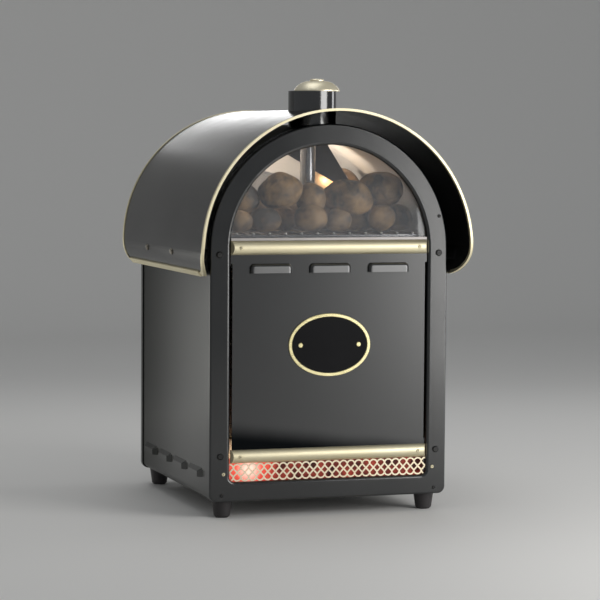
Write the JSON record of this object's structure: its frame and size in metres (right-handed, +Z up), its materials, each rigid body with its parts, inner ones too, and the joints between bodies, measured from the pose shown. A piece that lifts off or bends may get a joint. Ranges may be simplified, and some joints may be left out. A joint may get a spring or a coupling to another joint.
{
  "type": "baked potato oven",
  "caption": "Counter-top baked potato oven with a convection cavity below and a lit, glazed display vault above, under a curled arched canopy with a capped chimney.",
  "frame": {"origin": "bottom centre of the bounding box, on the surface the feet stand on", "axes": "+X to the right of the glazed front, +Y towards the operator's side at the back, +Z up"},
  "size_m": [0.4554, 0.5152, 0.7],
  "materials": {
    "black_enamel": "satin black vitreous enamel",
    "side_enamel": "satin black enamel with a broad sheen",
    "canopy_enamel": "glossier black enamel",
    "inner_enamel": "matt black",
    "panel_enamel": "satin black enamel",
    "door_enamel": "satin black enamel",
    "flap_enamel": "satin black enamel",
    "foot_rubber": "matt moulded rubber",
    "brass_trim": "polished pale brass",
    "brass_screws": "polished",
    "fret_brass": "polished pierced brass",
    "badge_gold": "polished gilt",
    "badge_black": "gloss black, bare",
    "zinc_steel": "zinc plated",
    "dark_screws": "blackened steel",
    "stainless": "brushed stainless",
    "bright_liner": "bright stainless",
    "ledge_steel": "bright stainless",
    "chrome_wire": "chromed wire",
    "glow_red": "translucent red",
    "ceramic": "glazed porcelain",
    "bulb_glass": "clear bulb",
    "clear_glass": "toughened clear glass",
    "mineral_wool": "mineral-wool slab",
    "element_steel": "sheathed element",
    "motor_grey": "dark grey",
    "seal_rubber": "silicone",
    "handle_steel": "polished bar",
    "hinge_steel": "plated steel",
    "control_steel": "brushed plate",
    "black_knob": "moulded black",
    "rocker_black": "moulded black",
    "indicator_red": "translucent red"
  },
  "bodies": {
    "oven_body": {"front_frame": "black_enamel", "rear_frame": "black_enamel", "side_panel_left": "side_enamel", "side_panel_right": "side_enamel", "roof_barrel": "inner_enamel", "base_pan": "inner_enamel", "feet": "foot_rubber", "canopy": "canopy_enamel", "canopy_edge_trims": "brass_trim", "canopy_edge_strips": "brass_trim", "canopy_rails": "zinc_steel", "canopy_screws": "dark_screws", "chimney": "black_enamel", "chimney_cap": "brass_trim", "steam_tube": "stainless", "front_panel": "panel_enamel", "upper_strip": "brass_trim", "lower_strip": "brass_trim", "brass_screws": "brass_screws", "frame_screws": "dark_screws", "badge_plate": "badge_black", "badge_rim": "badge_gold", "badge_rivets": "badge_gold", "grille": "fret_brass", "glow_tray": "zinc_steel", "glow_screen": "glow_red", "lamp_holders": "ceramic", "lamp_bulbs": "bulb_glass", "window_glass": "clear_glass", "glass_ledge": "ledge_steel", "display_deck": "stainless", "display_rack": "chrome_wire", "display_liner": "bright_liner", "lamp_shield": "inner_enamel", "oven_liner": "stainless", "wire_shelves": "chrome_wire", "shelf_runners": "stainless", "insulation": "mineral_wool", "heating_element": "element_steel", "fan_guard": "stainless", "fan_motor": "motor_grey", "door_hinge_leaves": "hinge_steel", "flap_brackets": "hinge_steel", "control_plate": "control_steel", "control_bodies": "motor_grey", "indicator_lamp": "indicator_red", "cable_gland": "black_knob"},
    "oven_door": {"door_skin": "door_enamel", "door_inner": "stainless", "door_seal": "seal_rubber", "door_handle": "handle_steel", "door_hinge_knuckles": "hinge_steel"},
    "display_flap": {"flap_frame": "flap_enamel", "flap_glass": "clear_glass", "flap_knob": "black_knob"},
    "thermostat": {"thermostat_knob": "black_knob"},
    "timer": {"timer_knob": "black_knob"},
    "power_switch": {"power_rocker": "rocker_black"},
    "light_switch": {"light_rocker": "rocker_black"},
    "fan": {"fan_impeller": "zinc_steel"}
  },
  "joints": [
    {"name": "oven_door_hinge", "type": "hinge", "parent": "oven_body", "child": "oven_door", "pos_m": [0.1612, 0.2295, 0.267], "axis": [0, 0, -1], "range_deg": [0, 110]},
    {"name": "display_flap_hinge", "type": "hinge", "parent": "oven_body", "child": "display_flap", "pos_m": [0, 0.232, 0.44], "axis": [-1, 0, 0], "range_deg": [0, 90]},
    {"name": "thermostat_turn", "type": "hinge", "parent": "oven_body", "child": "thermostat", "pos_m": [-0.105, 0.225, 0.071], "axis": [0, -1, 0], "range_deg": [0, 270]},
    {"name": "timer_turn", "type": "hinge", "parent": "oven_body", "child": "timer", "pos_m": [-0.045, 0.225, 0.071], "axis": [0, -1, 0], "range_deg": [0, 300]},
    {"name": "power_rocker_tilt", "type": "hinge", "parent": "oven_body", "child": "power_switch", "pos_m": [0.015, 0.2239, 0.071], "axis": [-1, 0, 0], "range_deg": [0, 16]},
    {"name": "light_rocker_tilt", "type": "hinge", "parent": "oven_body", "child": "light_switch", "pos_m": [0.055, 0.2239, 0.071], "axis": [-1, 0, 0], "range_deg": [0, 16]},
    {"name": "fan_spin", "type": "hinge", "parent": "oven_body", "child": "fan", "pos_m": [0, -0.136, 0.267], "axis": [0, 1, 0], "continuous": true}
  ]
}
